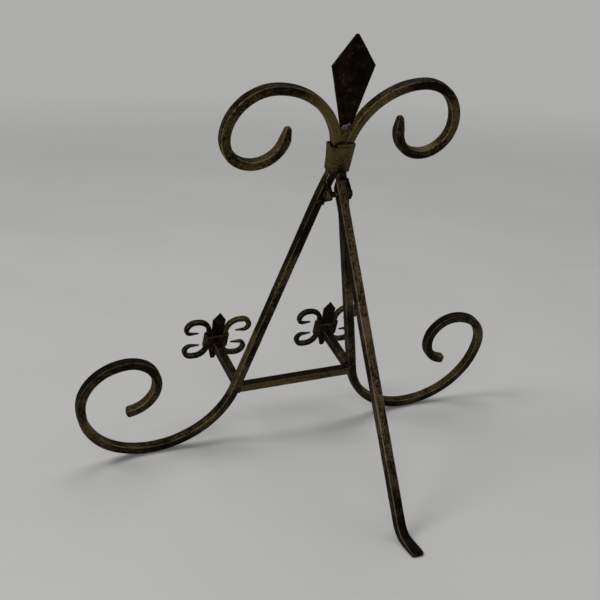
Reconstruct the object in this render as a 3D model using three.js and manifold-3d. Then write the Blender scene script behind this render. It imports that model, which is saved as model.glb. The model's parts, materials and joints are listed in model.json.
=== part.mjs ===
// Plate display stand: a scrolled easel of square wrought bar with a folding rear leg.
// Millimetres, +Z up. The plate side faces -Y, and the origin is the middle of the footprint.

import * as THREE from 'three';
import { mergeVertices } from 'three/addons/utils/BufferGeometryUtils.js';
import Module from 'manifold-3d';

const rad = THREE.MathUtils.degToRad;

// Stock and general sizes
const BAR = 6.35; // side of the square bar of the frame, the arms and the leg: a quarter inch
const HALF_BAR = BAR / 2;
const GAP = 0.3; // room between two pieces that touch
const ARC_FACET = 9; // largest turn of one facet of a bent bar, degrees
const FRAME_LEAN = 18; // the frame leans back from the vertical by this, degrees

// Frame bars, in the frame plane: x is across, y is up along the frame
const WAIST_X = HALF_BAR + GAP / 2; // the bars run side by side at the waist
const WAIST_Y = 231;
const WAIST_LOW_Y = 223; // the bars start to part here
const BAR_SPLAY = 13.9; // straight run of each bar from the frame's centre line, degrees
const WAIST_KICK = 5.1; // extra turn just below the waist, eased out further down, degrees
const KICK_RADIUS = 12;
const EASE_RADIUS = 250;
const TIP_TAPER = 9; // length of the drawn-down tip of a top scroll
const TIP_SIDE = 0.55; // side of that tip, as a share of the bar's side
const TOP_RISE = 2.7; // straight run above the waist, before the top scroll
const TOP_SCROLL = [
  { radius: 47, turn: -90 },
  { radius: 29.2, turn: -90 },
  { radius: 20.3, turn: -90 },
  { radius: 20, turn: -85 },
];
// A bottom scroll's first arcs; the straight run ends where they begin.
const BOTTOM_SCROLL = [
  { radius: 59.8, turn: 90 - BAR_SPLAY },
  { radius: 59.8, turn: 21.5 },
  { radius: 50, turn: 68.5 },
];
// The bars are bent by hand, so their ends differ a little: the straight tip of the top scroll, then
// the last arcs of the bottom scroll.
const BAR_ENDS = {
  right: {
    tip: 6.4,
    curl: [{ radius: 30.5, turn: 90 }, { radius: 22, turn: 90 }, { radius: 21.2, turn: 88 }],
  },
  left: {
    tip: 10,
    curl: [{ radius: 29, turn: 90 }, { radius: 19, turn: 90 }, { radius: 20.7, turn: 84 }],
  },
};
// Height of a bar's centre line where its rear edge touches the floor
const FLOOR_Y = HALF_BAR * (1 + Math.tan(rad(FRAME_LEAN)));

// Strip wound round the waist and round each hook
const BAND_THICK = 0.9;
const BAND_CORNER = 0.4; // inside bend radius

// Collar band round the two bars
const BAND_LOW_Y = 223.5;
const BAND_HIGH_Y = 242;
const BAND_LAP = 4.5; // each end runs this far past the middle of the rear face
const BAND_SLACK = 0.4; // room beside the bars, which part a little inside the band
const BAND_FLARE = 0.0068; // widening per millimetre of height

// Spear finial
const SPEAR_BASE_Y = 258;
const SPEAR_TANG = 8; // length of the narrow end that goes down between the bars
const SPEAR_TANG_HALF = 2.6;
const SPEAR_LENGTH = 54;
const SPEAR_SHOULDER = 34.5; // height of the shoulders over the base
const SPEAR_HALF_WIDTH = 14.8;
const SPEAR_BASE_HALF = 5;
const SPEAR_THICK = 3;
const SPEAR_BEVEL = 1.8;
const SPEAR_TILT = 7; // the blade stands this much further forward than the frame, degrees

// Crossbar and support arms
const CROSSBAR_Y = 48.6;
const ARM_X = 45.5;
const ARM_Y = 50.8;
const SIDE_LIFT = { right: 1.3, left: -1.3 }; // the arms are set by eye, one a little above the other
const ARM_SEAT = 12; // length of bar, at the foot of its straight run, that an arm is welded on
const HOOK_REACH = 47; // from the frame plane to the middle of a hook

// Hooks, each a small spear between two C-scrolls, in their own plane with the origin in the band
const HOOK_ABOVE_ARM = 3.6;
// Each hook is welded on a little off its arm's middle, across and up
const HOOK_SHIFT = { right: [0.1, 0], left: [-0.8, -0.7] };
const HOOK_ROLL = { right: 3, left: 1 }; // and a little out of square, degrees
const SCROLL_BAR = 3.6;
const SCROLL_TIP = 0.9;
const SCROLL_DRAW = 0.2; // growth of the scroll's side per millimetre from its tip
const UPPER_CURL = [
  { length: 7.3 },
  { radius: 10, turn: -90, facet: 15 },
  { length: 1.8 },
  { radius: 6.3, turn: -90, facet: 15 },
  { radius: 3.9, turn: -90, facet: 18 },
  { length: 6.3 },
];
const LOWER_CURL = [
  { length: 5.2 },
  { radius: 8.5, turn: 90, facet: 15 },
  { length: 2.8 },
  { radius: 5.6, turn: 90, facet: 15 },
  { radius: 4.2, turn: 90, facet: 18 },
  { length: 6.8 },
];
const HOOK_BAND_HEIGHT = 11;
const HOOK_BAND_LAP = 3;
const HOOK_SPEAR_NECK = 4.4; // half the width between the scrolls
const HOOK_SPEAR_THICK = 3;
const HOOK_SPEAR_BEVEL = 0.8;
const SCROLL_X = HOOK_SPEAR_NECK + GAP + SCROLL_BAR / 2;

// Hinge
const PIN_Y = 210;
const PIN_BACK = 8.2; // from the frame plane back to the pin
const PIN_RADIUS = 1.9;
const PIN_HEAD_RADIUS = 3.1;
const PIN_HEAD = 1.3;
const LUG_INNER_X = 5.5;
const LUG_THICK = 2.6;
const LUG_HALF_FOOT = 8.5;
const LUG_NOSE = 4; // radius round the pin

// Rear leg
const LEG_X = -2; // the leg hangs against one lug
const LEG_ANGLE = 26.8; // from the vertical when open, degrees
const LEG_OVERHANG = 8.3; // length of the leg above the pin, before its end is mitred
const FOOT_BEND = 14;
const FOOT_DROOP = 5; // the middle of the pad still falls by this, degrees
const PAD_LENGTH = 13.3;
const PAD_TIP_THICK = 2.2;
const PAD_TIP_WIDTH = 8;

// Finishes
const IRON = { color: 0x3a3020, roughness: 0.55, metalness: 0.7 };
const BRONZE = { color: 0x6b5a30, roughness: 0.45, metalness: 0.8 };
const DARK_IRON = { color: 0x231c15, roughness: 0.6, metalness: 0.6 };

const wasm = await Module();
wasm.setup();

// ---------- bent bars ----------

// Stations along the centre line of a bent bar: straight runs { length } and arcs { radius, turn },
// each leaving the one before on its tangent. A positive turn is anticlockwise, in degrees.
function bendPath(x, y, heading, runs) {
  const stations = [{ x, y, heading: rad(heading), distance: 0 }];
  for (const run of runs) {
    const turn = rad(run.turn ?? 0);
    const steps = Math.max(1, Math.ceil(Math.abs(turn) / rad(run.facet ?? ARC_FACET) - 1e-6));
    const stepTurn = turn / steps;
    const chord = run.length ?? 2 * run.radius * Math.sin(Math.abs(stepTurn) / 2);
    const advance = run.length ?? run.radius * Math.abs(stepTurn);
    for (let i = 0; i < steps; i += 1) {
      const last = stations.at(-1);
      const along = last.heading + stepTurn / 2;
      stations.push({
        x: last.x + chord * Math.cos(along),
        y: last.y + chord * Math.sin(along),
        heading: last.heading + stepTurn,
        distance: last.distance + advance,
      });
    }
  }
  return stations;
}

function reversePath(stations) {
  const total = stations.at(-1).distance;
  const turned = stations.map((station) => ({
    ...station,
    heading: station.heading + Math.PI,
    distance: total - station.distance,
  }));
  return turned.reverse();
}

function joinPaths(first, second) {
  const offset = first.at(-1).distance;
  const rest = second.slice(1).map((station) => ({ ...station, distance: station.distance + offset }));
  return [...first, ...rest];
}

function mirrorPath(stations) {
  return stations.map((station) => ({ ...station, x: -station.x, heading: Math.PI - station.heading }));
}

// A bar that follows the stations in the x-y plane. The section function gives its width in that
// plane and its depth along z at a distance from the start.
function bentBar(stations, section) {
  const steps = stations.length - 1;
  const geometry = new THREE.BoxGeometry(steps, 1, 1, steps, 1, 1);
  const position = geometry.attributes.position;
  for (let i = 0; i < position.count; i += 1) {
    const station = stations[Math.round(position.getX(i) + steps / 2)];
    const { width, depth } = section(station.distance);
    const side = position.getY(i) * width;
    const x = station.x - side * Math.sin(station.heading);
    const y = station.y + side * Math.cos(station.heading);
    position.setXYZ(i, x, y, position.getZ(i) * depth);
  }
  geometry.computeVertexNormals();
  return geometry;
}

// A flat strip wound once round a bundle of bars, its ends lapped on the rear face. The strip runs
// round the y axis, and the bundle fills halfWidth by halfDepth.
function woundStrip(halfWidth, halfDepth, thick, height, lap) {
  const reachX = halfWidth + GAP + thick / 2;
  const reachZ = halfDepth + GAP + thick / 2;
  const corner = { radius: BAND_CORNER + thick, turn: 90, facet: 30 };
  const layer = thick + GAP;
  const path = bendPath(lap, reachZ, 180, [
    { length: lap + reachX - corner.radius },
    corner,
    { length: 2 * (reachZ - corner.radius) },
    corner,
    { length: 2 * (reachX - corner.radius) },
    corner,
    { length: 2 * (reachZ - corner.radius) + layer },
    corner,
    { length: reachX - corner.radius + lap },
  ]);
  const strip = bentBar(path, () => ({ width: thick, depth: height }));
  strip.rotateX(-Math.PI / 2);
  return strip;
}

// ---------- flat plates and blades ----------

// A flat blade in the x-y plane, symmetric about x = 0. The bevels of its two faces leave a third of
// the thickness between them at the edge.
function blade(halfOutline, thick, bevel) {
  const shape = new THREE.Shape();
  const mirrored = halfOutline.filter(([x]) => x > 0).map(([x, y]) => [-x, y]).reverse();
  const corners = [...halfOutline, ...mirrored].map(([x, y]) => new THREE.Vector2(x, y));
  shape.setFromPoints(corners);
  const flat = thick / 3;
  const geometry = new THREE.ExtrudeGeometry(shape, {
    depth: flat,
    bevelEnabled: true,
    bevelSegments: 1,
    bevelThickness: (thick - flat) / 2,
    bevelSize: bevel,
    bevelOffset: -bevel,
  });
  geometry.translate(0, 0, -flat / 2);
  return geometry;
}

// ---------- cutting ----------

function toSolid(geometry) {
  const bare = geometry.clone();
  bare.deleteAttribute('normal');
  bare.deleteAttribute('uv');
  const merged = mergeVertices(bare, 1e-4);
  const mesh = new wasm.Mesh({
    numProp: 3,
    vertProperties: new Float32Array(merged.attributes.position.array),
    triVerts: new Uint32Array(merged.index.array),
  });
  return new wasm.Manifold(mesh);
}

function cut(body, tool) {
  const result = toSolid(body).subtract(toSolid(tool)).getMesh();
  const geometry = new THREE.BufferGeometry();
  geometry.setAttribute('position', new THREE.BufferAttribute(result.vertProperties, 3));
  geometry.setIndex(new THREE.BufferAttribute(result.triVerts, 1));
  geometry.computeVertexNormals();
  return geometry;
}

function part(name, geometry, finish) {
  const mesh = new THREE.Mesh(geometry, new THREE.MeshStandardMaterial(finish));
  mesh.name = name;
  return mesh;
}

// ---------- frame ----------

// Centre line of a bar's lower part, drawn on the +X side, from the waist to the bottom scroll's end.
function lowerBarPath(ends) {
  const kick = [
    { length: WAIST_Y - WAIST_LOW_Y },
    { radius: KICK_RADIUS, turn: BAR_SPLAY + WAIST_KICK },
    { radius: EASE_RADIUS, turn: -WAIST_KICK, facet: 2 },
  ];
  const scroll = [...BOTTOM_SCROLL, ...ends.curl];
  // The straight run takes up whatever height is left over the floor. Its last stretch carries the arm.
  const unstretched = bendPath(WAIST_X, WAIST_Y, -90, [...kick, ...scroll]);
  const lowest = Math.min(...unstretched.map((station) => station.y));
  const straight = (lowest - FLOOR_Y) / Math.cos(rad(BAR_SPLAY));
  const runs = [{ length: straight - ARM_SEAT }, { length: ARM_SEAT }];
  return bendPath(WAIST_X, WAIST_Y, -90, [...kick, ...runs, ...scroll]);
}

// Centre line of a whole bar, from the top scroll's tip to the bottom scroll's end.
function frameBarPath(ends) {
  const upper = bendPath(WAIST_X, WAIST_Y, 90, [{ length: TOP_RISE }, ...TOP_SCROLL, { length: ends.tip }]);
  return joinPaths(reversePath(upper), lowerBarPath(ends));
}

function frameBarSection(distance) {
  const drawn = Math.min(1, TIP_SIDE + ((1 - TIP_SIDE) * distance) / TIP_TAPER);
  return { width: BAR * drawn, depth: BAR * drawn };
}

function collarBand() {
  const height = BAND_HIGH_Y - BAND_LOW_Y;
  const strip = woundStrip(WAIST_X + HALF_BAR + BAND_SLACK, HALF_BAR, BAND_THICK, height, BAND_LAP);
  const position = strip.attributes.position;
  for (let i = 0; i < position.count; i += 1) {
    position.setX(i, position.getX(i) * (1 + BAND_FLARE * position.getY(i)));
  }
  strip.computeVertexNormals();
  return strip;
}

function spearBlade() {
  return blade(
    [
      [0, SPEAR_LENGTH],
      [SPEAR_HALF_WIDTH, SPEAR_SHOULDER],
      [SPEAR_BASE_HALF, 0],
      [SPEAR_TANG_HALF, -SPEAR_TANG],
    ],
    SPEAR_THICK,
    SPEAR_BEVEL,
  );
}

// How far a bar's centre line is from the middle of the frame, at a height below the waist.
function barXAt(height) {
  const stations = lowerBarPath(BAR_ENDS.right);
  const below = stations.findIndex((station) => station.y < height);
  const a = stations[below - 1];
  const b = stations[below];
  return a.x + ((b.x - a.x) * (height - a.y)) / (b.y - a.y);
}

// The crossbar fits between the two bars, its ends cut to their splay.
function crossbar() {
  const slope = Math.tan(rad(BAR_SPLAY));
  const middle = barXAt(CROSSBAR_Y) - HALF_BAR / Math.cos(rad(BAR_SPLAY)) - GAP;
  const upper = middle - HALF_BAR * slope;
  const lower = middle + HALF_BAR * slope;
  const face = new THREE.Shape();
  face.moveTo(-lower, -HALF_BAR);
  face.lineTo(lower, -HALF_BAR);
  face.lineTo(upper, HALF_BAR);
  face.lineTo(-upper, HALF_BAR);
  face.closePath();
  const geometry = new THREE.ExtrudeGeometry(face, { depth: BAR, bevelEnabled: false });
  geometry.translate(0, CROSSBAR_Y, -HALF_BAR);
  return geometry;
}

// ---------- hooks ----------

// Centre line of a C-scroll on the +X side of a hook, from its upper tip to its lower tip.
function scrollPath() {
  const upper = bendPath(SCROLL_X, 0, 90, UPPER_CURL);
  const lower = bendPath(SCROLL_X, 0, -90, LOWER_CURL);
  return joinPaths(reversePath(upper), lower);
}

// The scroll's section: full in the middle, drawn down to a point at both tips.
function scrollSection(total) {
  return (distance) => {
    const fromTip = Math.min(distance, total - distance);
    const width = Math.min(SCROLL_BAR, SCROLL_TIP + fromTip * SCROLL_DRAW);
    return { width, depth: width };
  };
}

function hookSpear() {
  return blade(
    [
      [0, 24.2],
      [5, 18],
      [HOOK_SPEAR_NECK, 9.5],
      [HOOK_SPEAR_NECK, -8.5],
      [1.4, -17.3],
    ],
    HOOK_SPEAR_THICK,
    HOOK_SPEAR_BEVEL,
  );
}

// A hook stands parallel to the frame on the front end of its arm.
function hook(side) {
  const group = new THREE.Group();
  const outward = scrollPath();
  const section = scrollSection(outward.at(-1).distance);
  group.add(part(`hook_spear_${side}`, hookSpear(), DARK_IRON));
  group.add(part(`hook_scroll_${side}_a`, bentBar(outward, section), IRON));
  group.add(part(`hook_scroll_${side}_b`, bentBar(mirrorPath(outward), section), IRON));
  const halfWidth = SCROLL_X + SCROLL_BAR / 2;
  const band = woundStrip(halfWidth, SCROLL_BAR / 2, BAND_THICK, HOOK_BAND_HEIGHT, HOOK_BAND_LAP);
  group.add(part(`hook_band_${side}`, band, DARK_IRON));
  return group;
}

// An arm runs forward from the front face of the frame to the back of its hook's band.
function supportArm() {
  const hookBack = SCROLL_BAR / 2 + 2 * (BAND_THICK + GAP) + GAP; // the lapped rear face of the band
  const front = HOOK_REACH - hookBack;
  const back = HALF_BAR + GAP;
  const geometry = new THREE.BoxGeometry(BAR, BAR, front - back);
  geometry.translate(0, 0, (front + back) / 2);
  return geometry;
}

// ---------- hinge and leg ----------

// A lug stands on the rear face of a bar, its nose round the pin.
function hingeLug() {
  const foot = PIN_BACK - HALF_BAR - GAP;
  const cornerReach = Math.hypot(foot, LUG_HALF_FOOT);
  const tangent = Math.acos(LUG_NOSE / cornerReach) - Math.atan2(LUG_HALF_FOOT, -foot);
  const outline = new THREE.Shape();
  outline.moveTo(-foot, -LUG_HALF_FOOT);
  outline.absarc(0, 0, LUG_NOSE, tangent, -tangent, false);
  outline.lineTo(-foot, LUG_HALF_FOOT);
  outline.closePath();
  const settings = { depth: LUG_THICK, bevelEnabled: false, curveSegments: 9 };
  const lug = new THREE.ExtrudeGeometry(outline, settings);
  const drilled = cut(lug, pinHole(LUG_THICK / 2));
  drilled.rotateY(Math.PI / 2);
  return drilled;
}

// The hole that a drill leaves along z, centred at a height.
function pinHole(middle) {
  const drill = new THREE.CylinderGeometry(PIN_RADIUS + GAP, PIN_RADIUS + GAP, 2 * BAR, 20);
  drill.rotateX(Math.PI / 2);
  drill.translate(0, 0, middle);
  return drill;
}

// A rivet with a peened head at each end, along x.
function hingePin() {
  const inside = LUG_INNER_X + LUG_THICK + GAP;
  const profile = [new THREE.Vector2(0, -inside - PIN_HEAD)];
  const head = (end) => [
    new THREE.Vector2(PIN_HEAD_RADIUS * 0.6, end * (inside + PIN_HEAD * 0.85)),
    new THREE.Vector2(PIN_HEAD_RADIUS, end * (inside + PIN_HEAD * 0.3)),
    new THREE.Vector2(PIN_HEAD_RADIUS, end * inside),
    new THREE.Vector2(PIN_RADIUS, end * inside),
  ];
  profile.push(...head(-1), ...head(1).reverse());
  profile.push(new THREE.Vector2(0, inside + PIN_HEAD));
  const geometry = new THREE.LatheGeometry(profile, 20);
  geometry.rotateZ(-Math.PI / 2);
  return geometry;
}

// The leg lies in its own x-y plane, x to the rear and y up, with the pin at the origin.
function rearLeg(pinHeight) {
  const heading = LEG_ANGLE - 90;
  const alongX = Math.cos(rad(heading));
  const alongY = Math.sin(rad(heading));
  const bend = -heading - FOOT_DROOP;
  const padFall = PAD_LENGTH * Math.sin(rad(FOOT_DROOP));
  const padMiddle = (PAD_TIP_THICK / 2) * Math.cos(rad(FOOT_DROOP)) + padFall;
  const bendDrop = FOOT_BEND * (Math.cos(rad(FOOT_DROOP)) - Math.cos(rad(heading)));
  const top = pinHeight - LEG_OVERHANG * alongY;
  const straight = (top - padMiddle - bendDrop) / -alongY;
  const path = bendPath(-LEG_OVERHANG * alongX, -LEG_OVERHANG * alongY, heading, [
    { length: straight },
    { radius: FOOT_BEND, turn: bend, facet: 8 },
    { length: PAD_LENGTH },
  ]);
  const padStart = path.at(-2).distance;
  const padStartThick = PAD_TIP_THICK + 2 * PAD_LENGTH * Math.tan(rad(FOOT_DROOP));
  const bendLength = padStart - straight;
  const section = (distance) => {
    const intoBend = THREE.MathUtils.clamp((distance - straight) / bendLength, 0, 1);
    const intoPad = THREE.MathUtils.clamp((distance - padStart) / PAD_LENGTH, 0, 1);
    const thick = THREE.MathUtils.lerp(BAR, padStartThick, intoBend);
    return {
      width: THREE.MathUtils.lerp(thick, PAD_TIP_THICK, intoPad),
      depth: THREE.MathUtils.lerp(BAR, PAD_TIP_WIDTH, (intoBend + intoPad) / 2),
    };
  };
  const drilled = cut(bentBar(path, section), pinHole(0));
  return cut(drilled, mitreBlock());
}

// The leg's top end is cut parallel to the frame: it bears on the rear faces of the bars when open.
function mitreBlock() {
  const size = 6 * BAR;
  const block = new THREE.BoxGeometry(size, size, size);
  block.translate(-(PIN_BACK - HALF_BAR - GAP) - size / 2, 0, 0);
  block.rotateZ(-rad(FRAME_LEAN));
  return block;
}

// ---------- assembly ----------

function frameGroup() {
  const frame = new THREE.Group();
  const rightPath = frameBarPath(BAR_ENDS.right);
  const leftPath = mirrorPath(frameBarPath(BAR_ENDS.left));
  frame.add(part('frame_bar_right', bentBar(rightPath, frameBarSection), IRON));
  frame.add(part('frame_bar_left', bentBar(leftPath, frameBarSection), IRON));
  frame.add(part('crossbar', crossbar(), BRONZE));

  const collar = part('collar_band', collarBand(), BRONZE);
  collar.position.y = (BAND_LOW_Y + BAND_HIGH_Y) / 2;
  frame.add(collar);

  const spear = part('spear_finial', spearBlade(), DARK_IRON);
  spear.position.y = SPEAR_BASE_Y;
  spear.rotation.x = rad(SPEAR_TILT);
  frame.add(spear);

  for (const [side, sign] of [['right', 1], ['left', -1]]) {
    const arm = part(`support_arm_${side}`, supportArm(), IRON);
    const armY = ARM_Y + SIDE_LIFT[side];
    arm.position.set(sign * ARM_X, armY, 0);
    frame.add(arm);
    const hookGroup = hook(side);
    const [shiftX, shiftY] = HOOK_SHIFT[side];
    hookGroup.position.set(sign * ARM_X + shiftX, armY + HOOK_ABOVE_ARM + shiftY, HOOK_REACH);
    hookGroup.rotation.z = rad(HOOK_ROLL[side]);
    frame.add(hookGroup);
    const lug = part(`hinge_lug_${side}`, hingeLug(), DARK_IRON);
    lug.position.set(sign > 0 ? LUG_INNER_X : -LUG_INNER_X - LUG_THICK, PIN_Y, -PIN_BACK);
    frame.add(lug);
  }

  const pin = part('hinge_pin', hingePin(), DARK_IRON);
  pin.position.set(0, PIN_Y, -PIN_BACK);
  frame.add(pin);

  frame.rotation.x = rad(90 - FRAME_LEAN);
  return frame;
}

function legGroup() {
  const pinRear = PIN_Y * Math.sin(rad(FRAME_LEAN)) + PIN_BACK * Math.cos(rad(FRAME_LEAN));
  const pinHeight = PIN_Y * Math.cos(rad(FRAME_LEAN)) - PIN_BACK * Math.sin(rad(FRAME_LEAN));
  const leg = new THREE.Group();
  leg.add(part('rear_leg', rearLeg(pinHeight), IRON));
  leg.rotation.set(Math.PI / 2, Math.PI / 2, 0);
  leg.position.set(LEG_X, pinRear, pinHeight);
  return leg;
}

const stand = new THREE.Group();
stand.add(frameGroup(), legGroup());

// The footprint's middle goes to the origin.
const reach = new THREE.Box3().setFromObject(stand, true);
stand.position.y = -(reach.min.y + reach.max.y) / 2;
stand.updateMatrixWorld(true);

export default stand;
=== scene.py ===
"""The looks of a plate display stand: forged bar, scrolls and welds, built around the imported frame.

Shapes are drawn in millimetres in the plane of the easel frame (x across, y up the frame, z forward) or
of the leg (x to the rear, y up, z across), and a matrix carries each one to its place in metres.
"""

import json
import math

import bmesh
import bpy
from mathutils import Matrix, Vector, noise


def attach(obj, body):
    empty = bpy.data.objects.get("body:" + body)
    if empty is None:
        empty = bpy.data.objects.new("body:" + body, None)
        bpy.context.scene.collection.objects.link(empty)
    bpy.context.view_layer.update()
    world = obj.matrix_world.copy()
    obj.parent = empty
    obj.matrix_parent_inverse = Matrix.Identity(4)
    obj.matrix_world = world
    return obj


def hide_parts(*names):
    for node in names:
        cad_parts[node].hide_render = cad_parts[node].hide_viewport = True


MM = 0.001

# Stock and lean
BAR = 6.35
HALF_BAR = BAR / 2
GAP = 0.3  # between touching pieces, as in the CAD
FRAME_LEAN = math.radians(18)

# Frame bars
WAIST_X = HALF_BAR + GAP / 2
WAIST_Y = 231.0
WAIST_LOW_Y = 223.0
BAR_SPLAY = 13.9  # degrees each bar leans out from the middle
WAIST_KICK = 5.1  # degrees a bar turns too far below the waist, and then back
STRAIGHT_RUN = 175.0  # from the waist down to where the lower scroll starts to look darker
TIP_TAPER = 9.0  # length over which a top scroll is drawn down to its tip
TIP_SIDE = 0.55  # share of the bar that is left at the tip
TOP_SCROLL = [(2.7,), (47, -90), (29.2, -90), (20.3, -90), (20, -85)]
BOTTOM_SCROLL = [(59.8, 90 - BAR_SPLAY), (59.8, 21.5), (50, 68.5)]
TIP_RUN = {"right": 6.4, "left": 10.0}
END_CURL = {"right": [(30.5, 90), (22, 90), (21.2, 88)], "left": [(29, 90), (19, 90), (20.7, 84)]}
FLOOR_Y = HALF_BAR * (1 + math.tan(FRAME_LEAN))  # a bar's centre line where it rests on the floor
SIDES = {"right": 1, "left": -1}

# Collar band
BAND_THICK = 0.9
BAND_CORNER = 0.7
BAND_LOW_Y = 223.5
BAND_HIGH_Y = 242.0
BAND_LAP = 4.5  # each end runs this far past the middle of the rear face
BAND_SLACK = 0.4  # room beside the bars
LAP_GAP = 0.09  # between the strip's two layers
BAND_FLARE = 0.0068  # widening per millimetre of height

# Spear
SPEAR_BASE_Y = 258.0
SPEAR_TILT = math.radians(7)
BLADE_THICK = 3.0

# Crossbar, arms and hooks
CROSSBAR_Y = 48.6
ARM_X = 45.5
ARM_Y = 50.8
SIDE_LIFT = {"right": 1.3, "left": -1.3}
HOOK_REACH = 47.0
HOOK_ABOVE_ARM = 3.6
HOOK_SHIFT = {"right": (0.1, 0.0), "left": (-0.8, -0.7)}
HOOK_ROLL = {"right": math.radians(3), "left": math.radians(1)}
SCROLL_BAR = 3.6
SCROLL_TIP = 0.9
SCROLL_DRAW = 0.2  # growth of a scroll's side per millimetre from its tip
HOOK_BAND_HEIGHT = 11.0
HOOK_BAND_LAP = 3.0
HOOK_NECK = 4.4  # half the width between the scrolls
SCROLL_X = HOOK_NECK + GAP + SCROLL_BAR / 2
UPPER_CURL = [(7.3,), (10, -90), (1.8,), (6.3, -90), (3.9, -90), (6.3,)]
LOWER_CURL = [(5.2,), (8.5, 90), (2.8,), (5.6, 90), (4.2, 90), (6.8,)]

# Hinge and leg
PIN_Y = 210.0
PIN_BACK = 8.2  # from the frame plane back to the pin
PIN_RADIUS = 1.9
LUG_INNER_X = 5.5
LUG_THICK = 2.6
LUG_HALF_FOOT = 8.5
LUG_NOSE = 4.0  # radius round the pin
LEG_X = -2.0
LEG_ANGLE = math.radians(26.8)
LEG_OVERHANG = 8.3  # length of the leg above the pin, before its end is mitred
FOOT_BEND = 14.0
FOOT_DROOP = math.radians(5)  # the middle of the pad still falls by this
PAD_LENGTH = 13.3
PAD_TIP_THICK = 2.2
PAD_TIP_WIDTH = 8.0

# Floor, in metres: where it starts to fade into the background, and its edge
FLOOR_FADE = 0.75
FLOOR_RADIUS = 1.9


# ---------- places ----------


def frame_matrix(pin):
    """From the easel frame's plane to the part frame. The pin fixes where the easel frame stands."""
    s, c = math.sin(FRAME_LEAN), math.cos(FRAME_LEAN)
    shift = pin.y / MM - (PIN_Y * s + PIN_BACK * c)
    lean = Matrix(((1, 0, 0, 0), (0, s, -c, shift), (0, c, s, 0), (0, 0, 0, 1)))
    return Matrix.Scale(MM, 4) @ lean


def leg_matrix(pin):
    """From the leg's plane, with the pin as its origin, to the part frame."""
    turn = Matrix(((0, 0, 1, LEG_X), (1, 0, 0, 0), (0, 1, 0, 0), (0, 0, 0, 1)))
    return Matrix.Translation((0, pin.y, pin.z)) @ Matrix.Scale(MM, 4) @ turn


# ---------- paths ----------


def bend_path(x, y, heading, runs):
    """Points (x, y, heading, distance) along straight runs (length,) and arcs (radius, turn in degrees)."""
    heading = math.radians(heading)
    path = [(x, y, heading, 0.0)]
    for run in runs:
        turn = math.radians(run[1]) if len(run) == 2 else 0.0
        steps = max(1, math.ceil(abs(turn) / math.radians(2)))
        turn_step = turn / steps
        length = run[0] * abs(turn_step) if turn else run[0]
        chord = 2 * run[0] * math.sin(abs(turn_step) / 2) if turn else run[0]
        for _ in range(steps):
            x, y, heading, distance = path[-1]
            along = heading + turn_step / 2
            ahead = (x + chord * math.cos(along), y + chord * math.sin(along))
            path.append((*ahead, heading + turn_step, distance + length))
    return path


def reverse_path(path):
    total = path[-1][3]
    return [(x, y, heading + math.pi, total - distance) for x, y, heading, distance in reversed(path)]


def join_paths(first, second):
    offset = first[-1][3]
    return first + [(x, y, heading, distance + offset) for x, y, heading, distance in second[1:]]


def mirror_path(path):
    return [(-x, y, math.pi - heading, distance) for x, y, heading, distance in path]


def point_at(path, distance):
    """The point of a path at a distance, between its two nearest stations."""
    low, high = 0, len(path) - 1
    while high - low > 1:
        middle = (low + high) // 2
        if path[middle][3] <= distance:
            low = middle
        else:
            high = middle
    a, b = path[low], path[high]
    t = (distance - a[3]) / (b[3] - a[3])
    return tuple(a[i] + (b[i] - a[i]) * t for i in range(3))


def lower_bar_path(side):
    kick = [(WAIST_Y - WAIST_LOW_Y,), (12, BAR_SPLAY + WAIST_KICK), (250, -WAIST_KICK)]
    scroll = BOTTOM_SCROLL + END_CURL[side]
    lowest = min(station[1] for station in bend_path(WAIST_X, WAIST_Y, -90, kick + scroll))
    straight = (lowest - FLOOR_Y) / math.cos(math.radians(BAR_SPLAY))
    return bend_path(WAIST_X, WAIST_Y, -90, kick + [(straight,)] + scroll)


def frame_bar_path(side):
    upper = bend_path(WAIST_X, WAIST_Y, 90, TOP_SCROLL + [(TIP_RUN[side],)])
    path = join_paths(reverse_path(upper), lower_bar_path(side))
    return path if side == "right" else mirror_path(path)


def bar_x_at(height):
    """How far a bar's centre line is from the middle of the frame, at a height below the waist."""
    path = lower_bar_path("right")
    below = next(i for i, station in enumerate(path) if station[1] < height)
    (ax, ay), (bx, by) = path[below - 1][:2], path[below][:2]
    return ax + (bx - ax) * (height - ay) / (by - ay)


# ---------- meshes ----------


def new_piece(name, mesh, body, material, replaced=()):
    for polygon in mesh.polygons:
        polygon.use_smooth = True
    piece = bpy.data.objects.new(name, mesh)
    bpy.context.scene.collection.objects.link(piece)
    mesh.materials.append(material)
    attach(piece, body)
    if replaced:
        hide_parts(*replaced)
    return piece


def rounded_ring(width, depth, corner):
    """Points (side, rise, ridge) round a rounded rectangle; ridge is 1 on a corner and 0 on a flat."""
    points = []
    arc_steps, flat_steps = 5, 4
    corner = min(corner, width / 2 * 0.98, depth / 2 * 0.98)
    for quarter in range(4):
        sign_x = (1, -1, -1, 1)[quarter]
        sign_y = (1, 1, -1, -1)[quarter]
        centre = (sign_x * (width / 2 - corner), sign_y * (depth / 2 - corner))
        for i in range(arc_steps):
            angle = math.radians(90) * (quarter + i / (arc_steps - 1))
            ridge = math.sin(math.pi * i / (arc_steps - 1))
            place = (centre[0] + corner * math.cos(angle), centre[1] + corner * math.sin(angle))
            points.append((*place, 0.3 + 0.7 * ridge))
        ahead_x = (-1, -1, 1, 1)[quarter]
        ahead_y = (1, -1, -1, 1)[quarter]
        after = (ahead_x * (width / 2 - corner), ahead_y * (depth / 2 - corner))
        angle = math.radians(90) * (quarter + 1)
        start = points[-1]
        end = (after[0] + corner * math.cos(angle), after[1] + corner * math.sin(angle))
        for i in range(1, flat_steps):
            t = i / flat_steps
            points.append((start[0] + (end[0] - start[0]) * t, start[1] + (end[1] - start[1]) * t, 0.0))
    return points


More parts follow.
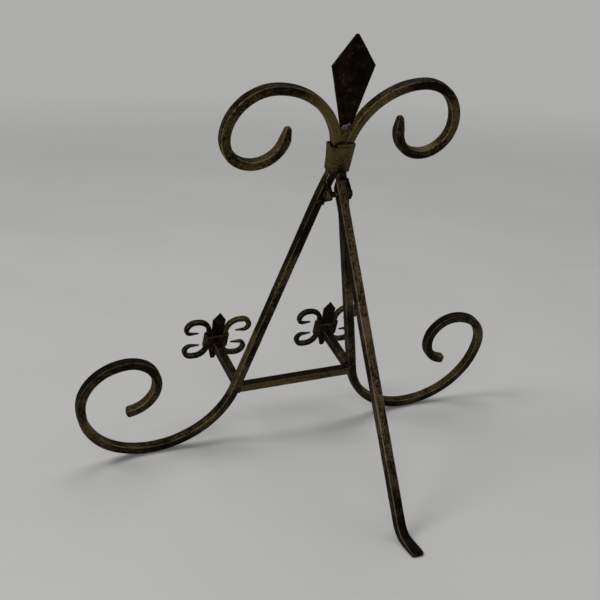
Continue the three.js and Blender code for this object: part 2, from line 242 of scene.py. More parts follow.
def spaced(total, spacing, ends):
    """Distances along a bar: close together where its ends are rounded, evenly spaced between."""
    steps = 6
    rounding = [ends * (1 - math.cos(math.pi / 2 * i / steps)) for i in range(steps)]
    count = max(2, round((total - 2 * ends) / spacing))
    middle = [ends + (total - 2 * ends) * i / count for i in range(count + 1)]
    return rounding + middle + [total - distance for distance in reversed(rounding)]


def hammered(point, size, seed):
    """A smooth random number about 0, the same each time, for a point in millimetres."""
    return noise.noise(Vector(point) / size + Vector((seed * 7.3, seed * 3.1, seed * 11.7)))


def sweep(name, path, section, matrix, *, ends, dent, seed, spacing=1.3, adjust=None, tint=None):
    """A bar along a path, rounded off over the length ends at both of its ends.

    section(distance) gives its width in the path's plane, its depth and its corner radius.
    adjust(spot, distance, side, rise) may move a point of the surface. tint(distance, side, rise) says how
    much more or less bronze is rubbed on there, and may also darken a spot as painted shade.
    """
    total = path[-1][3]
    verts, ridges, tints, rows = [], [], [], []
    for distance in spaced(total, spacing, ends):
        width, depth, corner = section(distance)
        inward = min(distance, total - distance)
        shrink = 1.0 if inward >= ends else math.sqrt(max(0.0, 1 - (1 - inward / ends) ** 2))
        trim = min(ends, min(width, depth) * 0.45) * (1 - shrink)
        ring = rounded_ring(width - 2 * trim, depth - 2 * trim, corner)
        x, y, heading = point_at(path, distance)
        row = []
        for side, rise, ridge in ring:
            reach = math.hypot(side, rise)
            spot = Vector((x - side * math.sin(heading), y + side * math.cos(heading), rise))
            swell = dent * (hammered(spot, 9, seed) + 0.5 * hammered(spot, 2.6, seed + 5))
            grow = 1 + swell / reach
            out = side * grow
            spot = Vector((x - out * math.sin(heading), y + out * math.cos(heading), rise * grow))
            if adjust:
                spot = adjust(spot, distance, side / width * 2, rise / depth * 2)
            row.append(len(verts))
            verts.append(matrix @ spot)
            ridges.append(ridge)
            tints.append(tint(distance, side / width * 2, rise / depth * 2) if tint else 0.0)
        rows.append((row, distance, ring))
    return ring_mesh(name, verts, ridges, tints, rows)


def ring_mesh(name, verts, ridges, tints, rows):
    """Quads between rings and a fan on each end, with lengthwise texture coordinates in centimetres."""
    faces, coords = [], []
    count = len(rows[0][0])
    around = []
    for _, _, ring in rows:
        lengths = [0.0]
        for i in range(count):
            a, b = ring[i], ring[(i + 1) % count]
            lengths.append(lengths[-1] + math.hypot(b[0] - a[0], b[1] - a[1]))
        around.append(lengths)
    for i in range(len(rows) - 1):
        (row, low, _), (after, high, _) = rows[i], rows[i + 1]
        for j in range(count):
            k = (j + 1) % count
            faces.append((row[j], row[k], after[k], after[j]))
            near, far = around[i], around[i + 1]
            coords += [(low, near[j]), (low, near[j + 1]), (high, far[j + 1]), (high, far[j])]
    for row, distance, flip in ((rows[0][0], rows[0][1], True), (rows[-1][0], rows[-1][1], False)):
        middle = sum((verts[i] for i in row), Vector()) / count
        verts.append(middle)
        ridges.append(0.3)
        tints.append(tints[row[0]])
        for j in range(count):
            a, b = row[j], row[(j + 1) % count]
            faces.append((b, a, len(verts) - 1) if flip else (a, b, len(verts) - 1))
            coords += [(distance, j * 0.5)] * 3
    mesh = bpy.data.meshes.new(name)
    mesh.from_pydata(verts, [], faces)
    layer = mesh.uv_layers.new(name="along")
    for loop, (u, v) in zip(layer.data, coords):
        loop.uv = (u / 10, v / 10)
    fill_attribute(mesh, "ridge", ridges)
    fill_attribute(mesh, "tint", tints)
    outward(mesh)
    return mesh


def fill_attribute(mesh, name, values):
    attribute = mesh.attributes.new(name, "FLOAT", "POINT")
    attribute.data.foreach_set("value", values)


def outward(mesh):
    """Turns the faces so that a closed mesh's normals point out."""
    shape = bmesh.new()
    shape.from_mesh(mesh)
    bmesh.ops.recalc_face_normals(shape, faces=shape.faces)
    shape.to_mesh(mesh)
    shape.free()


def solid(name, verts, faces, matrix, *, bevel, cuts, dent, seed):
    """A closed faceted solid with bevelled edges, cut finer and lightly hammered."""
    shape = bmesh.new()
    made = [shape.verts.new(v) for v in verts]
    for face in faces:
        shape.faces.new([made[i] for i in face])
    bmesh.ops.recalc_face_normals(shape, faces=shape.faces)
    rounding = {"offset": bevel, "segments": 3, "profile": 0.6, "affect": "EDGES", "clamp_overlap": True}
    bmesh.ops.bevel(shape, geom=list(shape.edges), **rounding)
    bmesh.ops.triangulate(shape, faces=[f for f in shape.faces if len(f.verts) > 4])
    for _ in range(cuts):
        long_edges = [e for e in shape.edges if e.calc_length() > 1.5]
        bmesh.ops.subdivide_edges(shape, edges=long_edges, cuts=1, use_grid_fill=True)
        bmesh.ops.triangulate(shape, faces=[f for f in shape.faces if len(f.verts) > 4])
    shape.normal_update()
    for vert in shape.verts:
        swell = hammered(vert.co, 6, seed) + 0.6 * hammered(vert.co, 2.2, seed + 3)
        vert.co += vert.normal * dent * swell
    mesh = bpy.data.meshes.new(name)
    for vert in shape.verts:
        vert.co = matrix @ vert.co
    bmesh.ops.recalc_face_normals(shape, faces=shape.faces)
    shape.to_mesh(mesh)
    shape.free()
    mark_ridges(mesh, 0.9)
    return mesh


def mark_ridges(mesh, reach):
    """Fills the ridge attribute from how sharply the surface turns at each point."""
    shape = bmesh.new()
    shape.from_mesh(mesh)
    values = []
    for vert in shape.verts:
        turn = max((edge.calc_face_angle(0.0) for edge in vert.link_edges), default=0.0)
        values.append(min(1.0, turn / reach * 2))
    shape.free()
    fill_attribute(mesh, "ridge", values)


# ---------- pieces of bar ----------


def frame_bar_section(distance):
    drawn = min(1.0, TIP_SIDE + (1 - TIP_SIDE) * distance / TIP_TAPER)
    side = BAR * drawn
    return side, side, 1.15 * drawn


def plain_section(_distance):
    return BAR, BAR, 1.1


def rubbed_faces(distance, side, rise, seed):
    """Each face of a bar is rubbed more or less as the cloth goes along it."""
    faces = ((max(0, side), 1), (max(0, -side), 2), (max(0, rise), 3), (max(0, -rise), 4))
    return sum(0.42 * share**4 * hammered((distance, 0, 37 * face), 40, seed) for share, face in faces)


def frame_bar(side, place, material):
    path = frame_bar_path(side)
    seed = 2 if side == "right" else 9
    waist = bend_path(0, 0, 0, TOP_SCROLL + [(TIP_RUN[side],)])[-1][3]
    collar_top = waist - (BAND_HIGH_Y - WAIST_Y)

    def tint(distance, across, rise):
        """The scrolls' outer faces stay dark, and the bars get a painted shadow line at the collar's mouth,
        where they go into it.

        Most bronze is just above the collar, least just below the hinge.
        """
        outer = -SIDES[side] * across
        down = distance - waist
        straight = smooth_step(down, -20, 0) * (1 - smooth_step(down, STRAIGHT_RUN, STRAIGHT_RUN + 30))
        near_collar = smooth_step(down, -70, -15) * (1 - smooth_step(down, 0, 12))
        under_hinge = smooth_step(down, 12, 26) * (1 - smooth_step(down, 55, 110))
        outside = -0.16 * (1 - straight) * (1 - near_collar) * max(0, outer) ** 4
        inside = 0.1 * (1 - straight) * max(0, -outer) ** 4
        # Painted shadow: a dark line on the bars just above the collar's top edge, where they go into it.
        mouth = smooth_step(distance, collar_top - 2.4, collar_top - 1.2)
        mouth *= 1 - smooth_step(distance, collar_top, waist)
        height = 0.06 - 0.12 * smooth_step(down, 0, 20) + 0.17 * near_collar - 0.14 * under_hinge
        return rubbed_faces(distance, across, rise, seed) + outside + inside + height - 0.6 * mouth

    mesh = sweep(f"bar_{side}", path, frame_bar_section, place, ends=1.9, dent=0.09, seed=seed, tint=tint)
    return new_piece(f"bar_{side}", mesh, "frame", material, [f"frame_bar_{side}"])


def crossbar(place, material):
    """The crossbar, its ends cut to the bars' splay and run a little into their welds."""
    slope = math.tan(math.radians(BAR_SPLAY))
    middle = bar_x_at(CROSSBAR_Y) - HALF_BAR / math.cos(math.radians(BAR_SPLAY)) + 0.2
    path = [(-middle, CROSSBAR_Y, 0.0, 0.0), (middle, CROSSBAR_Y, 0.0, 2 * middle)]

    def splay(spot, *_):
        return Vector((spot.x * (middle - (spot.y - CROSSBAR_Y) * slope) / middle, spot.y, spot.z))

    def tint(_distance, side, rise):
        return 0.14 * max(0, -rise) ** 4 - 0.5 * max(0, side) ** 4

    mesh = sweep(
        "crossbar_bar", path, plain_section, place, ends=0.1, dent=0.08, seed=4, adjust=splay, tint=tint
    )
    return new_piece("crossbar_bar", mesh, "frame", material, ["crossbar"])


def side_plane(x, y):
    """From a plane that runs forward (x) and up the frame (y) to the frame's own axes, at an offset."""
    return Matrix(((0, 0, -1, x), (0, 1, 0, y), (1, 0, 0, 0), (0, 0, 0, 1)))


def arm_front():
    return HOOK_REACH - SCROLL_BAR / 2 - 2 * (BAND_THICK + GAP) - GAP


def support_arm(side, place, material):
    y = ARM_Y + SIDE_LIFT[side]
    start = HALF_BAR - 0.1
    length = arm_front() + GAP + 0.1 - start
    path = [(start, 0.0, 0.0, 0.0), (start + length, 0.0, 0.0, length)]
    local = place @ side_plane(SIDES[side] * ARM_X, y)
    mesh = sweep(f"arm_{side}", path, plain_section, local, ends=0.1, dent=0.08, seed=6 + SIDES[side])
    return new_piece(f"arm_{side}", mesh, "frame", material, [f"support_arm_{side}"])


def wound_strip_path(half_width, half_depth, lap):
    """Centre line of a strip wound once round a bundle of bars, lapped on the rear face."""
    reach_x = half_width + GAP + BAND_THICK / 2
    reach_z = half_depth + GAP + BAND_THICK / 2
    corner = BAND_CORNER + BAND_THICK
    layer = BAND_THICK + LAP_GAP
    runs = [
        (lap + reach_x - corner,),
        (corner, 90),
        (2 * (reach_z - corner),),
        (corner, 90),
        (2 * (reach_x - corner),),
        (corner, 90),
        (2 * (reach_z - corner) + layer,),
        (corner, 90),
        (reach_x - corner + lap,),
    ]
    return bend_path(lap, reach_z, 180, runs)


def smooth_step(value, low, high):
    t = min(1.0, max(0.0, (value - low) / (high - low)))
    return t * t * (3 - 2 * t)


def strip_plane(y):
    """From the plane a strip is wound in to the frame's axes: its x across, its y to the rear."""
    return Matrix(((1, 0, 0, 0), (0, 0, 1, y), (0, -1, 0, 0), (0, 0, 0, 1)))


def collar(place, material):
    height = BAND_HIGH_Y - BAND_LOW_Y
    path = wound_strip_path(WAIST_X + HALF_BAR + BAND_SLACK, HALF_BAR, BAND_LAP)
    total = path[-1][3]

    def shape(spot, distance, *_):
        wide = 1 + BAND_FLARE * spot.z
        top = smooth_step(spot.z, 0, height / 2)
        rise = 1.5 * top * (1 - smooth_step(distance, 6, 20))
        fall = -1.1 * top * smooth_step(distance, total - 14, total)
        creep = 0.35 * hammered((spot.x, spot.y, spot.z * 0.3), 5, 21)
        lift = 0.0 if abs(spot.z) < height / 2 - 1 else creep
        gape = 1.0 * smooth_step(spot.z, 1, height / 2) * smooth_step(spot.x, 1, 6)
        out = gape * (0.8 if spot.y > 0 else 0.0)
        return Vector((spot.x * wide + gape, spot.y + out, spot.z + rise + fall + lift))

    def tint(distance, side, rise):
        """The inner face is made black and the strip darker at its lower edge; a hollow low down beside the
        lap is darkened as painted shade.
        """
        lap = total - distance
        # Painted shade in the hollow low down beside the lap.
        hollow = smooth_step(lap, 0, 2) * (1 - smooth_step(lap, 5, 9)) * smooth_step(-rise, -0.1, 0.4)
        return -0.2 * hollow - 0.25 * smooth_step(-rise, 0.8, 1) - 0.7 * max(0, side) ** 4

    middle = place @ strip_plane((BAND_LOW_Y + BAND_HIGH_Y) / 2)
    mesh = strip_sweep("collar", path, height, middle, shape, 22, tint)
    return new_piece("collar", mesh, "frame", material, ["collar_band"])


def strip_sweep(name, path, height, matrix, adjust, seed, tint=None):
    """A wound strip of sheet iron, its height across the path's plane."""

    def section(_distance):
        return BAND_THICK, height, 0.3

    return sweep(
        name, path, section, matrix, ends=0.3, dent=0.1, seed=seed, spacing=0.6, adjust=adjust, tint=tint
    )


# ---------- blades ----------


def blade(name, half_outline, inset, matrix, seed):
    """A blade: a rim along the outline and two faces set in from it.

    Both outlines run down one side, and inset holds the point of the face for each point of the rim.
    """
    rim = half_outline + [(-x, y) for x, y in reversed(half_outline) if x > 0]
    face = inset + [(-x, y) for x, y in reversed(inset) if x > 0]
    count = len(rim)
    edge = BLADE_THICK * 0.22
    verts = [(x, y, z) for z in (edge, -edge) for x, y in rim]
    verts += [(x, y, z) for z in (BLADE_THICK / 2, -BLADE_THICK / 2) for x, y in face]
    faces = []
    for i in range(count):
        j = (i + 1) % count
        faces.append((i, j, count + j, count + i))
        faces.append((i, j, 2 * count + j, 2 * count + i))
        faces.append((count + i, count + j, 3 * count + j, 3 * count + i))
    faces.append(tuple(range(2 * count, 3 * count)))
    faces.append(tuple(range(3 * count, 4 * count)))
    return solid(name, verts, faces, matrix, bevel=0.18, cuts=3, dent=0.12, seed=seed)


def spear(place, material):
    local = place @ Matrix.Translation((0, SPEAR_BASE_Y, 0)) @ Matrix.Rotation(SPEAR_TILT, 4, "X")
    outline = [(0.8, 53.6), (14.8, 34.5), (5, 0), (2.6, -8)]
    inset = [(0.5, 48.9), (10.9, 34.0), (3.4, 0.6), (1.6, -7)]
    mesh = blade("spear", outline, inset, local, 31)
    return new_piece("spear", mesh, "frame", material, ["spear_finial"])


# ---------- hooks ----------


def hook_place(side, place):
    shift_x, shift_y = HOOK_SHIFT[side]
    x = SIDES[side] * ARM_X + shift_x
    y = ARM_Y + SIDE_LIFT[side] + HOOK_ABOVE_ARM + shift_y
    return place @ Matrix.Translation((x, y, HOOK_REACH)) @ Matrix.Rotation(HOOK_ROLL[side], 4, "Z")


def scroll_path():
    upper = bend_path(SCROLL_X, 0, 90, UPPER_CURL)
    lower = bend_path(SCROLL_X, 0, -90, LOWER_CURL)
    return join_paths(reverse_path(upper), lower)


def hook(side, place, curl_paints, wrap_paint, dart_paint):
    local = hook_place(side, place)
    outward_path = scroll_path()
    total = outward_path[-1][3]

    def section(distance):
        width = min(SCROLL_BAR, SCROLL_TIP + SCROLL_DRAW * min(distance, total - distance))
        return width, width, 0.22 * width

    paths = (("a", outward_path), ("b", mirror_path(outward_path)))
    for (letter, path), curl_paint in zip(paths, curl_paints):
        name = f"curl_{side}_{letter}"
        seed = ord(letter) + 3 * SIDES[side]
        mesh = sweep(name, path, section, local, ends=0.35, dent=0.07, seed=seed, spacing=0.6)
        new_piece(name, mesh, "frame", curl_paint, [f"hook_scroll_{side}_{letter}"])

    outline = [(0, 24.2), (5, 18), (HOOK_NECK, 9.5), (HOOK_NECK, -8.5), (1.4, -17.3)]
    inset = [(0, 22.4), (3.7, 17.7), (3.3, 9.5), (3.3, -8.2), (0.8, -16.2)]
    mesh = blade(f"dart_{side}", outline, inset, local, 40 + SIDES[side])
    new_piece(f"dart_{side}", mesh, "frame", dart_paint, [f"hook_spear_{side}"])

    path = wound_strip_path(SCROLL_X + SCROLL_BAR / 2, SCROLL_BAR / 2, HOOK_BAND_LAP)

    def dress(spot, *_):
        edge = 0.3 * hammered((spot.x, spot.y, spot.z), 4, 50 + SIDES[side])
        return Vector((spot.x, spot.y, spot.z + edge))

    flat = local @ strip_plane(0)
    mesh = strip_sweep(f"wrap_{side}", path, HOOK_BAND_HEIGHT, flat, dress, 52 + SIDES[side])
    new_piece(f"wrap_{side}", mesh, "frame", wrap_paint, [f"hook_band_{side}"])


# ---------- hinge ----------


def lug(side, place, material):
    """A plate on the rear face of a bar, with its nose round the pin."""
    foot = PIN_BACK - HALF_BAR + 0.1
    reach = math.hypot(foot, LUG_HALF_FOOT)
    tangent = math.acos(LUG_NOSE / reach) - math.atan2(LUG_HALF_FOOT, -foot)
    steps = 12
    outline = [(-foot, -LUG_HALF_FOOT)]
    for i in range(steps + 1):
        angle = tangent - 2 * tangent * i / steps
        outline.append((LUG_NOSE * math.cos(angle), LUG_NOSE * math.sin(angle)))
    outline.append((-foot, LUG_HALF_FOOT))
    count = len(outline)
    verts = [(x, y, z) for z in (0.0, LUG_THICK) for x, y in outline]
    faces = [tuple(range(count)), tuple(range(count, 2 * count))]
    for i in range(count):
        j = (i + 1) % count
        faces.append((i, j, count + j, count + i))
    inner = LUG_INNER_X if side == "right" else -LUG_INNER_X - LUG_THICK
    to_rear = Matrix(((0, 0, 1, inner), (0, 1, 0, PIN_Y), (-1, 0, 0, -PIN_BACK), (0, 0, 0, 1)))
    local = place @ to_rear
    mesh = solid(f"lug_{side}", verts, faces, local, bevel=0.35, cuts=2, dent=0.12, seed=60 + SIDES[side])
    return new_piece(f"lug_{side}", mesh, "frame", material, [f"hinge_lug_{side}"])


def lathe(name, profile, matrix, *, dent, seed):
    """A turned piece along x. The profile is (x, radius) and starts and ends on the axis."""
    sides = 28
    verts, faces, rings = [], [], []
    for x, radius in profile:
        if radius == 0:
            rings.append([len(verts)])
            verts.append(Vector((x, 0, 0)))
            continue
        ring = []
        for i in range(sides):
            angle = 2 * math.pi * i / sides
            spot = (x, math.cos(angle) * radius, math.sin(angle) * radius)
            grow = radius + dent * hammered(spot, 1.6, seed)
            ring.append(len(verts))
            verts.append(Vector((x, grow * math.cos(angle), grow * math.sin(angle))))
        rings.append(ring)
    for a, b in zip(rings, rings[1:]):
        for i in range(sides):
            j = (i + 1) % sides
            if len(a) == 1:
                faces.append((a[0], b[i], b[j]))
            elif len(b) == 1:
                faces.append((a[i], a[j], b[0]))
            else:
                faces.append((a[i], a[j], b[j], b[i]))
    mesh = bpy.data.meshes.new(name)
    mesh.from_pydata([matrix @ v for v in verts], [], faces)
    outward(mesh)
    mark_ridges(mesh, 1.2)
    return mesh


def pin(place, material):
    """The rivet: a shank with a peened head at each end, slightly dished by the punch."""
    inside = LUG_INNER_X + LUG_THICK
    head = [
        (inside + 0.75, 0.0),
        (inside + 0.8, 0.8),
        (inside + 1.45, 1.15),
        (inside + 1.5, 1.7),
        (inside + 1.15, 2.5),
        (inside + 0.65, 3.0),
        (inside + 0.15, 3.05),
        (inside - 0.1, 2.7),
        (inside - 0.1, PIN_RADIUS),
    ]
    profile = [(-x, r) for x, r in head] + [(x, r) for x, r in reversed(head)]
    local = place @ Matrix.Translation((0, PIN_Y, -PIN_BACK))
    mesh = lathe("pin", profile, local, dent=0.12, seed=66)
    return new_piece("pin", mesh, "frame", material, ["hinge_pin"])


# ---------- leg ----------


def leg(place, pin_height, material):
    heading = LEG_ANGLE - math.pi / 2
    along = (math.cos(heading), math.sin(heading))
    pad_middle = PAD_TIP_THICK / 2 * math.cos(FOOT_DROOP) + PAD_LENGTH * math.sin(FOOT_DROOP)
    bend_drop = FOOT_BEND * (math.cos(FOOT_DROOP) - math.cos(heading))
    top = pin_height - LEG_OVERHANG * along[1]
    straight = (top - pad_middle - bend_drop) / -along[1]
    bend = -heading - FOOT_DROOP
    runs = [(straight,), (FOOT_BEND, math.degrees(bend)), (PAD_LENGTH,)]
    start = (-LEG_OVERHANG * along[0], -LEG_OVERHANG * along[1])
    path = bend_path(*start, math.degrees(heading), runs)
    bend_end = straight + FOOT_BEND * bend
    pad_thick = PAD_TIP_THICK + 2 * PAD_LENGTH * math.tan(FOOT_DROOP)

    def section(distance):
        bent = smooth_step(distance, straight, bend_end)
        out = min(1.0, max(0.0, (distance - bend_end) / PAD_LENGTH))
        thick = BAR + (pad_thick - BAR) * bent
        thick += (PAD_TIP_THICK - thick) * out
        wide = BAR + (PAD_TIP_WIDTH - BAR) * smooth_step(bent * 0.6 + out, 0, 1.2)
        toe = min(1.0, (total - distance) / 2.4)
        wide *= 0.72 + 0.28 * math.sqrt(max(0.0, 1 - (1 - toe) ** 2))
        return thick, wide, min(1.1, thick * 0.3)

    total = path[-1][3]
    mitre = HALF_BAR + GAP - PIN_BACK

    def finish_ends(spot, distance, side, rise):
        """Cuts the top end to the mitre plane, dishes the top of the pad and creases the bend."""
        if side > 0 and distance > straight:
            dish = smooth_step(distance, bend_end - 5, bend_end + 2) * (1 - rise**4) * 0.45 * side
            wrinkle = smooth_step(distance, straight, straight + 3)
            wrinkle *= 1 - smooth_step(distance, straight + 8, bend_end)
            crease = 0.22 * wrinkle * side * math.sin(distance * 2.4) * (1 - abs(rise))
            spot = Vector((spot.x, spot.y - dish - crease, spot.z))
        beyond = mitre - (spot.x * math.cos(FRAME_LEAN) - spot.y * math.sin(FRAME_LEAN))
        if beyond <= 0:
            return spot
        gain = along[0] * math.cos(FRAME_LEAN) - along[1] * math.sin(FRAME_LEAN)
        return Vector((spot.x + beyond / gain * along[0], spot.y + beyond / gain * along[1], spot.z))

    def tint(distance, side, rise):
        """The pad and the bend are left nearly black. The rear face is rubbed most, the +X face least."""
        black = smooth_step(distance, straight - 6, bend_end - 6)
        faces = 0.02 * max(0, side) ** 4 - 0.2 * max(0, rise) ** 4
        return 0.6 * rubbed_faces(distance, side, rise, 14) + faces - 0.6 * black

    mesh = sweep("leg_bar", path, section, place, ends=0.9, dent=0.09, seed=13, adjust=finish_ends, tint=tint)
    return new_piece("leg_bar", mesh, "leg", material, ["rear_leg"])


# ---------- welds ----------


def weld_bead(name, points, radius, place, material, seed):
    """A run of weld along a few points: a rippled bead that thins out at both ends."""
    points = [Vector(p) for p in points]
    lengths = [0.0]
    for a, b in zip(points, points[1:]):
        lengths.append(lengths[-1] + (b - a).length)
    total = lengths[-1]
    steps = max(8, int(total / 0.45))
    sides = 12
    verts, faces, rows = [], [], []
    up = Vector((0.3, 0.5, 0.8)).normalized()
    for i in range(steps + 1):
        distance = total * i / steps
        segment = max(j for j in range(len(lengths) - 1) if lengths[j] <= distance + 1e-9)
        t = (distance - lengths[segment]) / (lengths[segment + 1] - lengths[segment])
        centre = points[segment].lerp(points[segment + 1], t)
        along = (points[segment + 1] - points[segment]).normalized()
        across = along.cross(up).normalized()
        out = across.cross(along).normalized()
        end = min(1.0, min(distance, total - distance) / radius)
        size = radius * math.sqrt(max(0.02, 1 - (1 - end) ** 2))
        size *= 1 + 0.1 * math.sin(2 * math.pi * distance / 1.5)
        row = []
        for j in range(sides):
            angle = 2 * math.pi * j / sides
            spot = centre + (across * math.cos(angle) + out * math.sin(angle)) * size
            spot += (spot - centre) * 0.35 * hammered(spot, 1.7, seed)
            row.append(len(verts))
            verts.append(place @ spot)
        rows.append(row)
    for a, b in zip(rows, rows[1:]):
        for j in range(sides):
            k = (j + 1) % sides
            faces.append((a[j], a[k], b[k], b[j]))
    faces.append(tuple(reversed(rows[0])))
    faces.append(tuple(rows[-1]))
    mesh = bpy.data.meshes.new(name)
    mesh.from_pydata(verts, [], faces)
    outward(mesh)
    mark_ridges(mesh, 2.5)
    return new_piece(name, mesh, "frame", material)


def weld_lump(name, centre, radii, place, material, seed):
    """A lump of weld metal: a ball drawn out to three radii and made uneven."""
    shape = bmesh.new()
    bmesh.ops.create_icosphere(shape, subdivisions=4, radius=1.0)
    for vert in shape.verts:
        swell = 1 + 0.3 * hammered(vert.co, 0.6, seed) + 0.12 * hammered(vert.co, 0.22, seed + 2)
        spot = Vector((vert.co.x * radii[0], vert.co.y * radii[1], vert.co.z * radii[2])) * swell
        vert.co = place @ (Vector(centre) + spot)
    mesh = bpy.data.meshes.new(name)
    bmesh.ops.recalc_face_normals(shape, faces=shape.faces)
    shape.to_mesh(mesh)
    shape.free()
    mark_ridges(mesh, 2.5)
    return new_piece(name, mesh, "frame", material)


def square_loop(x, y, z, half):
    """Corners round a square bar that runs forward, closed."""
    corners = [(-half, -half), (half, -half), (half, half), (-half, half), (-half, -half)]
    return [(x + a, y + b, z) for a, b in corners]


def welds(place, plain, bronze, bright):
    weld_lump("weld_crotch", (0, 223.0, 0), (2.0, 3.2, 2.8), place, bronze, 70)
    weld_lump("weld_waist", (0, 249.5, -1.6), (4.6, 8.0, 1.9), place, bronze, 71)
    # The weld under the spear gets the pale material: a painted highlight.
    weld_lump("weld_spear", (0.3, 255.2, -3.2), (3.3, 1.7, 0.8), place, bright, 72)
    end_x = bar_x_at(CROSSBAR_Y) - HALF_BAR / math.cos(math.radians(BAR_SPLAY))
    slope = math.tan(math.radians(BAR_SPLAY))
    for side, sign in SIDES.items():
        top = (sign * (end_x - HALF_BAR * slope), CROSSBAR_Y + HALF_BAR)
        low = (sign * (end_x + HALF_BAR * slope), CROSSBAR_Y - HALF_BAR)
        for where, z in (("rear", -HALF_BAR + 0.35), ("front", HALF_BAR - 0.35)):
            points = [(low[0], low[1], z), (top[0], top[1], z)]
            weld_bead(f"weld_cross_{side}_{where}", points, 0.85, place, bronze, 75 + sign)
        for where, (x, y), rise in (("top", top, -0.35), ("under", low, 0.35)):
            points = [(x, y + rise, -HALF_BAR + 0.4), (x, y + rise, HALF_BAR - 0.4)]
            weld_bead(f"weld_cross_{side}_{where}", points, 0.8, place, bronze, 78 + sign)
        y = ARM_Y + SIDE_LIFT[side]
        loop = square_loop(sign * ARM_X, y, HALF_BAR, HALF_BAR - 0.25)
        weld_bead(f"weld_arm_{side}", loop, 0.75, place, plain, 82 + sign)
        loop = square_loop(sign * ARM_X, y, arm_front(), HALF_BAR - 0.2)
        weld_bead(f"weld_hook_{side}", loop, 1.0, place, plain, 85 + sign)
        toe = (sign * (LUG_INNER_X + LUG_THICK + 0.4), PIN_Y - 8.6, -HALF_BAR - 0.2)
        weld_lump(f"weld_toe_{side}", toe, (2.7, 2.2, 1.1), place, plain, 92 + sign)
        middle = sign * (LUG_INNER_X + LUG_THICK / 2)
        for where, x in (("in", middle - LUG_THICK / 2), ("out", middle + LUG_THICK / 2)):
            points = [(x, PIN_Y - 7.6, -HALF_BAR - 0.1), (x, PIN_Y + 7.6, -HALF_BAR - 0.1)]
            weld_bead(f"weld_lug_{side}_{where}", points, 0.8, place, plain, 88 + sign)


# ---------- materials ----------


class Nodes:
    """A short way to write a material's node tree."""

    def __init__(self, name):
        self.material = bpy.data.materials.new(name)
        self.material.use_nodes = True
        self.tree = self.material.node_tree
        self.tree.nodes.clear()

    def add(self, kind, inputs=None, **settings):
        node = self.tree.nodes.new(kind)
        for key, value in settings.items():
            setattr(node, key, value)
        for key, value in (inputs or {}).items():
            self.set(node, key, value)
        return node

    def set(self, node, key, value):
        if isinstance(value, bpy.types.NodeSocket):
            self.tree.links.new(value, node.inputs[key])
        else:
            node.inputs[key].default_value = value

    def math(self, operation, a, b=0.0, clamp=False):
        node = self.add("ShaderNodeMath", {0: a, 1: b}, operation=operation, use_clamp=clamp)
        return node.outputs[0]

    def noise(self, vector, scale, detail, roughness):
        inputs = {"Vector": vector, "Scale": scale, "Detail": detail, "Roughness": roughness}
        return self.add("ShaderNodeTexNoise", inputs).outputs["Fac"]

    def range(self, value, low, high, to_low=0.0, to_high=1.0):
        inputs = {"Value": value, "From Min": low, "From Max": high, "To Min": to_low, "To Max": to_high}
        return self.add("ShaderNodeMapRange", inputs, interpolation_type="SMOOTHSTEP").outputs["Result"]

    def mix(self, factor, a, b):
        node = self.add("ShaderNodeMix", data_type="RGBA")
        self.set(node, "Factor", factor)
        self.set(node, 6, a)
        self.set(node, 7, b)
        return node.outputs[2]

    def stretch(self, vector, scale):
        return self.add("ShaderNodeMapping", {"Vector": vector, "Scale": scale}).outputs["Vector"]

    def finish(self, colour, roughness, metallic, height, shine):
        bump = self.add("ShaderNodeBump", {"Height": height, "Distance": 0.0004, "Strength": 0.8})
        inputs = {"Base Color": colour, "Roughness": roughness, "Metallic": metallic}
        inputs["Normal"] = bump.outputs["Normal"]
        inputs["Specular IOR Level"] = shine
        inputs["Specular Tint"] = (0.9, 0.78, 0.56, 1)
        return self.output(self.add("ShaderNodeBsdfPrincipled", inputs).outputs["BSDF"])

    def output(self, shader):
        self.add("ShaderNodeOutputMaterial", {"Surface": shader})
        return self.material


